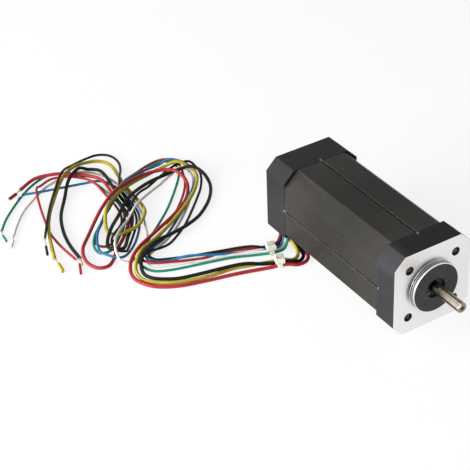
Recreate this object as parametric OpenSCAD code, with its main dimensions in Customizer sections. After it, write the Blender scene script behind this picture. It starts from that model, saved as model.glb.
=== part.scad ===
/* [Housing] */
// Width of both end bells across the flats, mm
bell_w = 42; // [40:0.5:46]
// Length of the body without the pilot and the shaft, mm
body_len = 100; // [80:1:130]
// Length of the front bell, mm
front_bell_len = 12.5; // [11.5:0.5:16]
// Length of the rear bell, mm
rear_bell_len = 15.2; // [15:0.2:19]
// Leg of the corner chamfer on the bells, mm
bell_chamfer = 5.6; // [4.5:0.1:6.2]
// Step of the stator stack in from the sides of the bells, mm
stack_step = 0.15; // [0.05:0.05:1.5]
// Leg of the corner chamfer on the stator stack, mm
stack_chamfer = 7.7; // [6.5:0.1:8]
// Width of the seam groove along the middle of each stack side, mm
seam_w = 1.1; // [0.6:0.1:1.6]
// Depth of the seam groove, mm
seam_depth = 0.5; // [0.3:0.1:0.8]
// Length of the small key notch where a seam groove meets a bell, mm
notch_len = 1.2; // [0.8:0.1:1.6]

/* [Front mount] */
// Diameter of the raised pilot, mm
pilot_d = 25; // [22:0.5:28]
// Height of the pilot above the mounting face, mm
pilot_len = 3; // [2:0.5:4]
// Edge chamfer of the pilot, mm
pilot_edge = 0.35; // [0.2:0.05:0.6]
// Diameter of the opening around the shaft in the pilot face, mm
nose_d = 10; // [9:0.5:12]
// Thickness of the lip that holds the front bearing, mm
lip_t = 1.2; // [1:0.1:1.6]
// Bolt circle of the four mounting holes, mm
bolt_circle = 36; // [35.5:0.5:38]
// Tapping bore of the M3 mounting holes, mm
tap_d = 2.5; // [2.5:0.1:2.8]
// Depth of the mounting thread from the face, mm
tap_len = 4.5; // [4:0.5:5.5]
// Mouth diameter of the countersink on the mounting holes, mm
sink_d = 4.4; // [3.6:0.2:5]

/* [Shaft] */
// Diameter of the output shaft in front of the bearing, mm
shaft_d = 5; // [4.9:0.05:5]
// Diameter of the journals that carry the bearings, mm
journal_d = 6; // [6:0.1:6.2]
// Reach of the shaft in front of the mounting face, mm
shaft_out = 21; // [14:1:30]
// Depth of the flat on the shaft, mm
flat_depth = 0.5; // [0.3:0.1:0.8]
// Length of the round part between the pilot face and the flat, mm
flat_start = 3; // [1:0.5:5]
// Turn of the flat about the shaft, degrees up from the side that faces left
flat_turn = 42; // [0:1:359]
// Chamfer at the shaft tip, mm
tip_edge = 0.5; // [0.2:0.1:0.8]
// Diameter of the centre drilling in the shaft tip, mm
centre_d = 2; // [1:0.1:2.4]
// Diameter of the thicker middle of the shaft, mm
shaft_mid_d = 7.4; // [7:0.1:8]

/* [Stator] */
// Bore of the stator stack, mm
bore_d = 23; // [22.6:0.1:23.4]
// Number of stator slots
slots = 12; // [12:12:12]
// Width of a slot, mm
slot_w = 3.6; // [3.2:0.1:3.8]
// Width of the slot mouth between two tooth tips, mm
slot_mouth = 1.6; // [1.2:0.1:2]
// Thickness of the tooth tips, mm
tip_t = 1.2; // [1:0.1:1.4]
// Thickness of the slot insulators at the stack ends, mm
insul_t = 1; // [0.6:0.1:1.2]
// Reach of the end turns beyond the insulators, mm
turn_reach = 2.6; // [2:0.1:2.8]
// Gap that stays free between two coils in a slot, mm
coil_gap = 0.4; // [0.3:0.1:0.6]

/* [Rotor] */
// Number of magnet segments
poles = 8; // [8:2:8]
// Air gap between the rotor sleeve and the bore, mm
air_gap = 0.4; // [0.3:0.05:0.6]
// Wall of the rotor sleeve, mm
sleeve_t = 0.3; // [0.2:0.05:0.4]
// Radial thickness of the magnets, mm
magnet_t = 2.4; // [2:0.1:2.8]
// Angle covered by one magnet, degrees
magnet_arc = 41; // [36:0.5:43]
// Thickness of the balance rings, mm
balance_t = 2; // [1.4:0.1:2.4]

/* [Bearings] */
// Outer diameter of the ball bearings, mm
race_od = 15; // [15:0.1:15.4]
// Width of the ball bearings, mm
race_w = 5; // [4.6:0.1:5]
// Ball diameter, mm
ball_d = 3; // [2.8:0.05:3]
// Balls in each bearing
balls = 7; // [6:1:7]
// Thickness of the bearing shields, mm
shield_t = 0.3; // [0.2:0.05:0.4]
// Thickness of the wave washer behind the rear bearing, mm
wave_t = 0.6; // [0.4:0.1:0.8]

/* [Electronics] */
// Thickness of the sensor board, mm
board_t = 1; // [0.8:0.1:1.2]
// Body of one position sensor, width, mm
sensor_w = 3; // [2.6:0.1:3.4]
// Body of one position sensor, thickness, mm
sensor_t = 1.4; // [1.2:0.1:1.5]
// Angle between two position sensors, degrees
sensor_pitch = 60; // [60:30:60]
// Diameter of the inner leads between board and grommet, mm
inner_lead_d = 1; // [0.8:0.1:1]

/* [Fasteners] */
// Nominal diameter of the long tie screws, mm
tie_d = 2.9; // [2.5:0.1:2.9]
// Clearance bore for the tie screws, mm
tie_bore = 3.4; // [3.1:0.1:3.4]
// Head diameter of the tie screws, mm
tie_head_d = 5.5; // [5:0.1:5.6]
// Head height of the tie screws, mm
tie_head_h = 2.8; // [2.4:0.1:3]
// Width of the hexagon socket in the screw heads, mm
hex_af = 2.5; // [2:0.1:2.6]
// Thickness of the lock washers, mm
washer_t = 0.6; // [0.4:0.1:0.8]
// Diameter of the board screws, mm
board_screw_d = 1.6; // [1.4:0.1:1.8]

/* [Leads] */
// Diameter of the three phase leads over the insulation, mm
phase_d = 1.8; // [1.6:0.1:1.8]
// Diameter of the five sensor leads over the insulation, mm
hall_d = 1.3; // [1.1:0.1:1.3]
// Width of the strap of a cable tie, mm
strap_w = 2.5; // [2.2:0.1:2.8]
// Thickness of the strap of a cable tie, mm
strap_t = 0.5; // [0.4:0.1:0.5]
// Width of the head of a cable tie, mm
buckle_w = 5; // [4:0.5:5.5]
// Height of the head of a cable tie, mm
buckle_h = 3; // [2.5:0.5:3.5]

/* [Hidden] */
$fn = 64;
eps = 0.01;
x_joint_f = -front_bell_len;
x_joint_r = -(body_len - rear_bell_len);
x_back = -body_len;
bolt_r = bolt_circle / 2;
stack_w = bell_w - 2 * stack_step;
corner_n = 4;
corner_turn = 45;
quarter = 90;
half_turn = 180;
whole_turn = 360;

// Cavities of the bells
tie_wall = 0.6;
cavity_r = bolt_r - tie_bore / 2 - tie_wall + 0.2;
front_plate = 4.5;
rear_plate = 4;
x_cav_f = -front_plate;
x_cav_r = x_back + rear_plate;
tip_bore = tie_d + 0.1;
tie_tip_x = -(tap_len + 0.8);

// Bearings
ball_pitch_r = 5.25;
ball_play = 0.06;
inner_race_r = 4.1;
outer_race_r = race_od / 2 - 1.3;
race_bore = journal_d;
shield_in_r = inner_race_r + 0.3;
shield_seat = 0.25;
cage_t = 1.2;
cage_w = 3.8;
cage_play = 0.05;
x_brg_f = pilot_len - lip_t - race_w;
x_brg_r = x_cav_r - 0.5;
x_wave = x_brg_r - wave_t;
hub_r = race_od / 2 + 1.8;
hub_len = race_w - 0.5;
end_relief_r = journal_d / 2 + 1.2;
end_relief = 1.1;

// The round neck between the front bearing and the flat is ground a hair over the output diameter
shaft_neck_over = 0.02;
shaft_neck_run = 0.2;
x_flat = pilot_len + flat_start;
// Turns the output end so that its cylinder starts and ends inside the flat
seam_turn = -flat_turn - quarter;

// Stator winding
slot_in_r = bore_d / 2 + tip_t;
slot_out_r = cavity_r;
coil_in_r = slot_in_r + 0.3;
coil_out_r = slot_out_r - 0.4;
slot_step = whole_turn / slots;
tooth_turn = slot_step / 2;
phases = 3;
coils_per_phase = slots / phases;
coil_side = (slot_w - coil_gap) / 2 - 0.15;
x_turn_f = x_joint_f + insul_t + turn_reach;
x_turn_r = x_joint_r - insul_t - turn_reach;
guard_t = 0.5;

// Rotor
sleeve_r = bore_d / 2 - air_gap;
magnet_r = sleeve_r - sleeve_t;
core_r = magnet_r - magnet_t;
x_rot_f = x_joint_f - 1.5;
x_rot_r = x_joint_r - 2.4;
mid_front = x_brg_f;
mid_rear = x_brg_r + race_w;
shaft_end = x_wave - 0.2;

// Sensor board and its posts
x_board = x_turn_r - 1.6 - board_t;
board_r = cavity_r - 0.4;
board_hole_r = shaft_mid_d / 2 + 1.2;
post_n = 3;
post_r = 13;
post_d = 3.4;
post_turn = 75;
board_head_d = 2.8;
board_head_h = 0.7;
board_screw_len = 4;
sensor_r = core_r + magnet_t / 2;
sensor_len = 3.4;
sensor_turn = 75;
pin_d = 0.8;
pin_r = (coil_in_r + coil_out_r) / 2;
pin_turns = [105, 135, 165];

// Cable exit in the lower left corner of the rear bell
exit_turn = 225;
exit_t0 = -3.5;
exit_t1 = 3.75;
exit_len = 7.8;
exit_wall = 0.9;
exit_in_r = bolt_r + tie_bore / 2 + exit_wall;
exit_out_r = (bell_w - bell_chamfer) / sqrt(2) - 0.2;
neck_in_r = cavity_r - 0.2;
neck_y0 = 2.3;
neck_w = 5;
neck_len = 4;
x_neck = x_board - neck_len;
strip_r0 = 11.4;
strip_t = 1.6;
strip_h = 3.6;
lead_rows = 2;
lead_cols = 4;

// Leads: each point is x, y and the lift of the underside above the surface, mm
floor_z = -bell_w / 2;
lead_sides = 8;
lead_rings = 80;
phase_red_route = [[-90, -15.3, 1.1], [-85, -15.7, 0.5], [-78, -15.4, 0], [-72, -16.6, 0],
    [-69, -20, 0], [-69, -24.5, 0], [-71.7, -29.5, 0.7], [-75, -38, 0], [-79.5, -52, 0], [-83, -66, 0],
    [-87, -79, 0], [-93, -88.5, 0], [-101, -93, 0], [-108, -93, 0], [-115.5, -89, 1],
    [-121.5, -81.5, 2.5], [-128.5, -68, 2.5], [-137, -53, 1.5], [-147, -40, 0], [-156, -33, 0.5],
    [-163.5, -31, 2], [-170, -33, 3.5], [-174.5, -38.5, 3], [-176, -46.5, 3], [-173, -57, 4.5],
    [-165.5, -70, 7], [-157, -82.5, 5.5], [-148, -94.5, 0.5], [-138, -103, 1], [-129, -106, 0.5],
    [-122, -104, 0], [-120, -99, 0], [-123.5, -94, 0], [-129.3, -89.1, 0], [-136.2, -81.7, 0],
    [-144, -74.9, 0], [-152.7, -70.1, 0], [-175, -67.2, 0.5], [-184, -67.5, 3], [-193, -70.5, 2],
    [-200, -77, 2], [-205, -85, 2], [-207.5, -94.5, 1.5], [-204.5, -104.5, 0]];
phase_yellow_route = [[-90, -18, 3.3], [-85, -18.2, 3], [-78.5, -19, 1.7], [-75, -20.5, 0.3],
    [-73.6, -24.3, 0], [-75.7, -29, 0.7], [-80, -39, 0], [-84, -51, 0], [-85.3, -62, 0], [-88, -73, 0],
    [-92.5, -83, 0], [-99, -89.7, 0], [-106, -90.7, 0], [-112.5, -88, 1], [-118.5, -81.5, 3],
    [-124.5, -71, 1.5], [-131, -58, 2], [-140, -44, 2.5], [-149, -33.5, 2], [-157, -26.8, 2.5],
    [-165, -23.3, 1.5], [-171.5, -23, 1], [-177, -27, 3], [-179.8, -34, 0.5], [-179, -42.5, 0],
    [-174, -55, 2], [-166.5, -67, 4.5], [-158, -78, 5.3], [-150, -84, 3], [-143, -86, 1],
    [-138, -83, 1.8], [-137.5, -78, 2], [-139.5, -71.5, 1.5], [-145, -65, 1.5], [-153, -61, 1.2],
    [-175, -59.1, 1], [-187, -56.5, 0], [-198, -55, 0], [-205, -58, 0], [-207, -64, 0.5],
    [-203, -74, 3.5], [-196, -84, 4], [-185, -95, 0.5], [-172, -104, 1], [-158, -111, 1.5],
    [-140, -117.3, 0]];
phase_black_route = [[-90, -16, 3], [-85, -17.3, 1.4], [-77.5, -17.4, 0.8], [-73.3, -18.4, 0],
    [-71, -22, 0], [-71.9, -25.5, 0.7], [-73.7, -29.2, 0.7], [-77.5, -38, 1], [-82, -48.5, 2.5],
    [-88.8, -69, 1], [-93, -78, 0], [-98.5, -85.5, 0], [-104, -88, 0], [-110, -86.5, 1],
    [-115, -82.5, 3], [-119.5, -76, 2.5], [-122.5, -68.5, 2], [-124, -60.5, 1.5], [-126.5, -51, 1],
    [-131.5, -41, 0], [-138.5, -32, 0], [-146, -25.5, 0], [-154, -21.3, 0], [-161.5, -20.7, 2],
    [-167, -24, 4], [-171, -30, 2], [-172, -38, 1], [-169, -50, 2], [-161.5, -64, 3.5],
    [-152.5, -75, 2], [-143.5, -84, 3], [-136, -90.3, 2.5], [-130.3, -92.6, 2], [-126.3, -88.3, 2],
    [-128.6, -84.7, 1], [-134.9, -80, 0], [-142.9, -73.2, 0.5], [-151.9, -68.2, 1], [-162, -66.1, 0],
    [-175, -65.3, 1.5], [-187, -63.7, 2.5], [-196, -63, 1], [-201, -67, 0.5], [-199.5, -73, 4],
    [-194, -81.5, 3], [-183.5, -89.5, 0.5], [-171, -98, 0], [-158, -103.3, 0], [-146, -106, 0],
    [-133.5, -107, 0]];
hall_red_route = [[-92.1, -18.7, 5.3], [-90.2, -20.6, 3], [-88.9, -23.5, 1], [-89.4, -28.5, 0.7],
    [-93.6, -37, 0], [-98, -47, 0], [-99.3, -57, 0], [-101.5, -63, 0], [-107, -77.5, 1],
    [-110.2, -82.3, 1.5], [-114.8, -83, 0.5], [-118.8, -79.7, 0], [-124, -72, 0], [-131, -61.5, 0],
    [-139, -51.5, 0], [-149, -41, 0], [-159, -33, 0], [-169, -28, 0], [-178, -25.2, 0],
    [-184.5, -26, 0], [-187.8, -31, 0], [-187, -39, 0], [-183.5, -48, 0.5], [-176.5, -59, 3],
    [-169.5, -67.5, 2.5], [-153, -85, 0], [-145, -92, 0], [-138.8, -94.9, 0], [-135, -91.2, 0],
    [-138.2, -85, 0], [-145.9, -77.7, 0], [-154, -73.1, 0], [-162.7, -71.2, 0], [-175, -70.4, 0],
    [-186, -71.5, 2.5], [-195, -75.5, 2], [-200.5, -81, 1.5], [-203, -87.5, 1.2], [-201.5, -94, 0.5],
    [-196, -99, 3], [-185, -102.8, 0.5], [-172, -106.5, 0], [-160, -109.3, 0], [-147, -109.8, 0],
    [-134, -109, 0]];
hall_black_route = [[-90.5, -18.7, 5.3], [-88.6, -20.6, 3], [-87.3, -23.5, 1], [-87.8, -28.5, 0.7],
    [-92.1, -37, 2.5], [-98.3, -50, 1.5], [-104, -62.5, 0.5], [-110.3, -75.3, 0], [-112.2, -78.9, 1],
    [-115.4, -79.4, 1.5], [-117.5, -76.6, 1.5], [-117.5, -71.5, 1], [-119.5, -65, 0], [-124, -57.5, 0],
    [-131, -48.5, 0], [-148, -31.5, 0], [-156, -25, 0], [-163.5, -20.8, 0], [-170, -19.2, 0],
    [-174.8, -20.7, 2], [-177, -25, 1.5], [-176.5, -31, 1], [-174, -39, 0], [-168.5, -49, 0.5],
    [-161, -60.5, 3], [-144.5, -78, 2.5], [-137.5, -85.5, 4], [-132, -90, 5], [-126.8, -91.9, 3.5],
    [-124, -87.7, 2], [-127.5, -83.5, 0.5], [-141.9, -71.4, 0], [-151.2, -66.5, 0], [-161.7, -64.4, 0],
    [-172, -63, 1.3], [-181, -59, 2.5], [-190, -53.5, 1], [-199, -50, 0], [-207, -50.8, 0],
    [-211.5, -56, 0], [-211, -63, 0.5], [-206, -73, 3], [-198, -83, 6.5], [-188, -93, 3],
    [-174, -103, 3], [-154.5, -115, 3]];
hall_blue_route = [[-88.9, -18.7, 5.3], [-87, -20.6, 3], [-85.7, -23.5, 1], [-86.2, -28.5, 0.7],
    [-90.6, -37, 0], [-97.5, -52.5, 1], [-103, -64.5, 2], [-106.2, -71, 0.5], [-108.6, -76.5, 0.5],
    [-111.3, -80.7, 1.5], [-115.5, -81, 1.3], [-118.6, -78, 1], [-120.8, -72, 1], [-125.5, -63.5, 0.5],
    [-140, -45, 1], [-149, -35.7, 1.5], [-157, -28.5, 1.5], [-165, -23, 0], [-172.5, -21.2, 0],
    [-179, -23.5, 1], [-183, -28.5, 2], [-184, -34, 0], [-183, -41, 0.5], [-179, -51, 3],
    [-172.5, -62, 5], [-165, -71.5, 4.3], [-149, -87.5, 2.7], [-141, -93.5, 2], [-132, -97, 1.5],
    [-125, -96, 2.5], [-122, -91.5, 1], [-123.5, -86.5, 0], [-128, -80.5, 0], [-134, -75, 0],
    [-141.2, -69.8, 0], [-150.6, -65, 0], [-161.5, -63, 0], [-172, -62.2, 0], [-180, -63, 0],
    [-186, -67.5, 1.5], [-189.7, -75, 1], [-194.5, -95, 1.4], [-198, -106.3, 1.5]];
hall_green_route = [[-85.7, -18.7, 5.3], [-83.8, -20.6, 3], [-82.5, -23.5, 1], [-83, -28.5, 0.7],
    [-87.5, -37, 0], [-92, -47, 0], [-95, -57, 0], [-98, -68, 0], [-100.5, -76, 0], [-104, -82.5, 0],
    [-109.5, -85.2, 0], [-115, -85, 0], [-119.5, -81.2, 1.5], [-127, -72.5, 1], [-146, -51, 0],
    [-165, -33.7, 0], [-173, -28.7, 0], [-180, -26.8, 0], [-185, -29.5, 0], [-185.7, -36, 0],
    [-182.5, -45.5, 0], [-176, -56.5, 3], [-168.5, -66.5, 3], [-152, -85.5, 1.5], [-144.5, -93, 1.5],
    [-138, -97, 0.5], [-132, -97, 0], [-130, -92.5, 0.5], [-132.5, -88, 1], [-137.6, -83.3, 0.3],
    [-145.1, -76.4, 0], [-153.4, -71.7, 1], [-162.5, -69.8, 1.5], [-175, -69, 0.5], [-187, -69.7, 0],
    [-197, -72.5, 0], [-204.5, -77.5, 0], [-208.5, -83.5, 0], [-208, -90.5, 0], [-203.5, -100, 0],
    [-195, -111, 0], [-185, -121.5, 0], [-176.5, -128.3, 0]];
hall_white_route = [[-87.3, -18.7, 5.3], [-85.4, -20.6, 3], [-84.1, -23.5, 1], [-84.6, -28.5, 0.7],
    [-89, -37, 1], [-93.5, -47, 0.5], [-97, -57, 0], [-104.5, -75.5, 0], [-108, -81, 0],
    [-112.5, -81.5, 0], [-116.2, -79, 0], [-118.8, -74, 0], [-122.5, -65.5, 0], [-129, -56, 0],
    [-137, -46.7, 0], [-146, -38, 0], [-154.5, -31, 0], [-162.5, -26, 0], [-169.3, -24.9, 1],
    [-173, -28.3, 2], [-172, -33.5, 0], [-167.5, -42.5, 0], [-161.5, -53, 1.5], [-153.5, -64.5, 3.5],
    [-145.5, -74.5, 2], [-138, -82.5, 4], [-131, -88.5, 5], [-124.5, -92, 4.5], [-119.5, -92.5, 1.5],
    [-117.5, -88.5, 0], [-119.5, -82.5, 0], [-125, -76, 0], [-132, -70.8, 0], [-150, -63.5, 0],
    [-161.3, -61.6, 0.5], [-175, -60.7, 0.5], [-184, -61, 0], [-192, -63, 0], [-198, -67.5, 0.5],
    [-201, -74.5, 1.5], [-202, -82.5, 0], [-199.5, -92, 0], [-194, -101, 0], [-186, -111.5, 0],
    [-177, -119.5, 0], [-169, -125.3, 0]];

// Bare strands beyond the leads and the cut insulation left on their tips
phase_strand_d = 0.9;
hall_strand_d = 0.6;
phase_tips = [[[-204.5, -104.5, 0], [-202.4, -107.7, 0], [-200.2, -112.5, 0]],
    [[-140, -117.3, 0], [-135.4, -117.6, 0], [-128.7, -118.6, 0]],
    [[-133.5, -107, 0], [-127.8, -108.6, 0]]];
hall_tips = [[[-134, -109, 0], [-129.8, -109.2, 0], [-122.3, -112.4, 0]],
    [[-154.5, -115, 3], [-149.5, -117, 2.2], [-144, -119, 1]],
    [[-198, -106.3, 1.5], [-196.4, -108.3, 1.5], [-194.4, -110.3, 1.4]],
    [[-176.5, -128.3, 0], [-173, -129.2, 0], [-167.2, -129.9, 0]],
    [[-169, -125.3, 0], [-166.1, -126.8, 0], [-160.9, -130.4, 0]]];

// Cable ties: middle of the row that each one holds, its turn and the width of the row
hall_tie = [-86.3, -28.7];
hall_tie_turn = -19;
hall_row_w = 7.6;
phase_tie = [-74.6, -31.5];
phase_tie_turn = -21;
phase_row_w = 5.8;
tie_lift = 0.55;
tie_play = 0.2;
buckle_len = 4.5;
buckle_shift = 1;

module rod(x0, x1, d) {
    translate([x0, 0, 0])
        rotate([0, quarter, 0])
            cylinder(h = x1 - x0, d = d);
}

module cone(x0, x1, d0, d1) {
    translate([x0, 0, 0])
        rotate([0, quarter, 0])
            cylinder(h = x1 - x0, d1 = d0, d2 = d1);
}

module tube(x0, x1, d_out, d_in) {
    difference() {
        rod(x0, x1, d_out);
        rod(x0 - 1, x1 + 1, d_in);
    }
}

module prism(x0, x1) {
    translate([x0, 0, 0])
        rotate([quarter, 0, quarter])
            linear_extrude(height = x1 - x0)
                children();
}

module octagon(w, leg) {
    h = w / 2;
    polygon([[-h, -h + leg], [-h + leg, -h], [h - leg, -h], [h, -h + leg],
        [h, h - leg], [h - leg, h], [-h + leg, h], [-h, h - leg]]);
}

module at_corners() {
    for (k = [0 : corner_n - 1])
        rotate([corner_turn + quarter * k, 0, 0])
            translate([0, bolt_r, 0])
                children();
}

module at_sides() {
    for (k = [0 : corner_n - 1])
        rotate([quarter * k, 0, 0])
            children();
}

module box(x0, x1, y0, y1, z0, z1) {
    translate([x0, y0, z0])
        cube([x1 - x0, y1 - y0, z1 - z0]);
}

module key_notch(x0, x1) {
    at_sides()
        box(x0, x1, bell_w / 2 - seam_depth, bell_w / 2 + 1, -seam_w / 2, seam_w / 2);
}

module front_bell() {
    color("#1c1c1f")
        difference() {
            union() {
                prism(x_joint_f, 0)
                    octagon(bell_w, bell_chamfer);
                rod(-1, pilot_len - pilot_edge, pilot_d);
                cone(pilot_len - pilot_edge, pilot_len, pilot_d, pilot_d - 2 * pilot_edge);
            }
            rod(pilot_len - lip_t - 1, pilot_len + 1, nose_d);
            rod(x_joint_f - 1, pilot_len - lip_t, race_od);
            rod(x_joint_f - 1, x_cav_f, 2 * cavity_r);
            at_corners() {
                rod(x_joint_f - 1, -tap_len, tip_bore);
                rod(-tap_len - 1, 1, tap_d);
                cone(-(sink_d - tap_d) / 2, eps, tap_d, sink_d + 2 * eps);
            }
            key_notch(x_joint_f - 1, x_joint_f + notch_len);
        }
}

module exit_block(grow) {
    rotate([exit_turn, 0, 0]) {
        box(x_joint_r - exit_len, x_joint_r + grow, exit_in_r, exit_out_r + grow, exit_t0, exit_t1);
        box(x_neck, x_joint_r - exit_len / 2, neck_in_r - 2 * grow, exit_in_r + 1, neck_y0, neck_y0 + neck_w);
    }
}

module rear_bell() {
    color("#1a1a1d")
        difference() {
            union() {
                difference() {
                    prism(x_back, x_joint_r)
                        octagon(bell_w, bell_chamfer);
                    rod(x_cav_r, x_joint_r + 1, 2 * cavity_r);
                }
                rod(x_back + 1, x_brg_r + hub_len, 2 * hub_r);
                board_posts();
            }
            rod(x_wave, x_joint_r, race_od);
            rod(x_wave - end_relief, x_wave + 1, 2 * end_relief_r);
            at_corners() {
                rod(x_back - 1, x_joint_r + 1, tie_bore);
                rod(x_back - 1, x_back + tie_head_h + washer_t + 0.1, tie_head_d + 0.5);
            }
            board_screw_holes();
            exit_block(1);
            key_notch(x_joint_r - notch_len, x_joint_r + 1);
        }
}

module at_posts() {
    for (k = [0 : post_n - 1])
        rotate([post_turn + whole_turn / post_n * k, 0, 0])
            translate([0, post_r, 0])
                children();
}

module board_posts() {
    at_posts()
        rod(x_back + 1, x_board, post_d);
}

module board_screw_holes() {
    at_posts()
        rod(x_board - board_screw_len, x_board + 1, board_screw_d);
}

module slot_shape(x0, x1) {
    for (k = [0 : slots - 1])
        rotate([slot_step * k, 0, 0]) {
            box(x0, x1, slot_in_r, slot_out_r, -slot_w / 2, slot_w / 2);
            box(x0, x1, bore_d / 2 - 1, slot_in_r + 1, -slot_mouth / 2, slot_mouth / 2);
        }
}

module stator_core() {
    color("#26262a")
        difference() {
            prism(x_joint_r, x_joint_f)
                octagon(stack_w, stack_chamfer);
            rod(x_joint_r - 1, x_joint_f + 1, bore_d);
            slot_shape(x_joint_r - 1, x_joint_f + 1);
            at_corners()
                rod(x_joint_r - 1, x_joint_f + 1, tie_bore);
            at_sides()
                box(x_joint_r - 1, x_joint_f + 1, stack_w / 2 - seam_depth, stack_w, -seam_w / 2, seam_w / 2);
        }
}

module insulator(x0, x1, g0, g1) {
    difference() {
        union() {
            tube(x0, x1, 2 * coil_out_r + 0.6, bore_d);
            tube(g0, g1, 2 * coil_out_r + 0.6, 2 * coil_out_r + 0.1);
        }
        slot_shape(x0 - 1, x1 + 1);
    }
}

module front_insulator() {
    color("#d8d2c0")
        insulator(x_joint_f, x_joint_f + insul_t, x_joint_f, x_turn_f);
}

module rear_insulator() {
    color("#d8d2c0")
        insulator(x_joint_r - insul_t, x_joint_r, x_turn_r, x_joint_r);
}

function cut_y(r, off) = (r * sin(tooth_turn) - off) / cos(tooth_turn);

module coil_outline(off, r0, r1) {
    polygon([[r0, -cut_y(r0, off)], [r1, -cut_y(r1, off)], [r1, cut_y(r1, off)], [r0, cut_y(r0, off)]]);
}

module coil() {
    difference() {
        intersection() {
            prism(x_turn_r, x_turn_f)
                coil_outline(coil_gap / 2, coil_in_r, coil_out_r);
            rod(x_turn_r - 1, x_turn_f + 1, 2 * coil_out_r);
        }
        prism(x_joint_r - insul_t, x_joint_f + insul_t)
            coil_outline(coil_gap / 2 + coil_side, coil_in_r - 1, coil_out_r + 1);
    }
}

module coil_set(first) {
    for (k = [0 : coils_per_phase - 1])
        rotate([tooth_turn + slot_step * (first + phases * k), 0, 0])
            coil();
}

module coils_u() {
    color("#b5622e")
        coil_set(0);
}

module coils_v() {
    color("#b5622e")
        coil_set(1);
}

module coils_w() {
    color("#b5622e")
        coil_set(2);
}

module tie_screws() {
    seat = x_back + tie_head_h + 0.1;
    color("#9a9ca0")
        at_corners()
            difference() {
                union() {
                    rod(seat - tie_head_h, seat, tie_head_d);
                    rod(seat - eps, tie_tip_x, tie_d);
                }
                translate([seat - tie_head_h - 1, 0, 0])
                    rotate([0, quarter, 0])
                        cylinder(h = 1 + tie_head_h / 2, d = hex_af / cos(half_turn / 6), $fn = 6);
            }
}

module lock_washers() {
    seat = x_back + tie_head_h + 0.1;
    color("#8d8f94")
        at_corners()
            tube(seat, seat + washer_t, tie_head_d, tie_bore);
}

module wave_washer() {
    color("#a9abb0")
        tube(x_wave, x_brg_r, race_od - 0.4, race_od - 3);
}

module sensor_board() {
    color("#1f5c38")
        difference() {
            tube(x_board, x_board + board_t, 2 * board_r, 2 * board_hole_r);
            board_screw_holes();
            at_posts()
                rod(x_board - 1, x_board + board_t + 1, board_screw_d);
        }
}

module hall_sensors() {
    color("#101012")
        for (k = [-1 : 1])
            rotate([sensor_turn + sensor_pitch * k, 0, 0])
                box(x_board + board_t, x_board + board_t + sensor_t, sensor_r - sensor_len / 2,
                    sensor_r + sensor_len / 2, -sensor_w / 2, sensor_w / 2);
}

module board_screws() {
    color("#c9cbd0")
        at_posts() {
            rod(x_board + board_t, x_board + board_t + board_head_h, board_head_d);
            rod(x_board - board_screw_len + 0.4, x_board + board_t + eps, board_screw_d);
        }
}

module terminal_strip() {
    color("#e6e1d2")
        rotate([exit_turn, 0, 0])
            box(x_board - strip_h, x_board, strip_r0, strip_r0 + strip_t, neck_y0, neck_y0 + neck_w);
}

module inner_leads() {
    pitch = neck_w / lead_cols;
    color("#b33a2c")
        rotate([exit_turn, 0, 0])
            for (i = [0 : lead_rows - 1])
                for (j = [0 : lead_cols - 1])
                    translate([x_board - strip_h * (i + 0.6) / lead_rows + 0.1, strip_r0 + strip_t,
                        neck_y0 + pitch * (j + 0.5)])
                        rotate([-quarter, 0, 0])
                            cylinder(h = neck_in_r - strip_r0 - strip_t, d = inner_lead_d);
}

module phase_pins() {
    color("#c77b43")
        for (t = pin_turns)
            rotate([t, 0, 0])
                translate([0, pin_r, 0])
                    rod(x_board + board_t, x_turn_r, pin_d);
}

module cable_grommet() {
    color("#151515")
        exit_block(0);
}

module outer_race(x0) {
    mid = x0 + race_w / 2;
    difference() {
        tube(x0, x0 + race_w, race_od, 2 * outer_race_r);
        translate([mid, 0, 0])
            rotate([0, quarter, 0])
                rotate_extrude()
                    translate([ball_pitch_r, 0])
                        circle(d = ball_d + 2 * ball_play);
        tube(x0 - 1, x0 + shield_t, 2 * outer_race_r + 2 * shield_seat, outer_race_r);
        tube(x0 + race_w - shield_t, x0 + race_w + 1, 2 * outer_race_r + 2 * shield_seat, outer_race_r);
    }
}

module inner_race(x0) {
    mid = x0 + race_w / 2;
    difference() {
        tube(x0, x0 + race_w, 2 * inner_race_r, race_bore);
        translate([mid, 0, 0])
            rotate([0, quarter, 0])
                rotate_extrude()
                    translate([ball_pitch_r, 0])
                        circle(d = ball_d + 2 * ball_play);
    }
}

module front_outer_race() {
    color("#b9bcc2")
        outer_race(x_brg_f);
}

module rear_outer_race() {
    color("#b9bcc2")
        outer_race(x_brg_r);
}

module front_inner_race() {
    color("#c4c7cc")
        inner_race(x_brg_f);
}

module rear_inner_race() {
    color("#c4c7cc")
        inner_race(x_brg_r);
}

module shield_pair(x0) {
    d = 2 * outer_race_r + 2 * shield_seat;
    tube(x0, x0 + shield_t, d, 2 * shield_in_r);
    tube(x0 + race_w - shield_t, x0 + race_w, d, 2 * shield_in_r);
}

module bearing_shields() {
    color("#a4a7ad") {
        shield_pair(x_brg_f);
        shield_pair(x_brg_r);
    }
}

module at_balls(x0) {
    for (k = [0 : balls - 1])
        rotate([whole_turn / balls * k, 0, 0])
            translate([x0 + race_w / 2, ball_pitch_r, 0])
                children();
}

module ball_cage(x0) {
    mid = x0 + race_w / 2;
    difference() {
        tube(mid - cage_w / 2, mid + cage_w / 2, 2 * ball_pitch_r + cage_t, 2 * ball_pitch_r - cage_t);
        at_balls(x0)
            rotate([quarter, 0, 0])
                cylinder(h = 3 * cage_t, d = ball_d + 2 * cage_play, center = true);
    }
}

module front_balls() {
    color("#d5d8dd")
        at_balls(x_brg_f)
            sphere(d = ball_d);
}

module rear_balls() {
    color("#d5d8dd")
        at_balls(x_brg_r)
            sphere(d = ball_d);
}

module front_cage() {
    color("#b08d57")
        ball_cage(x_brg_f);
}

module rear_cage() {
    color("#b08d57")
        ball_cage(x_brg_r);
}

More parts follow.
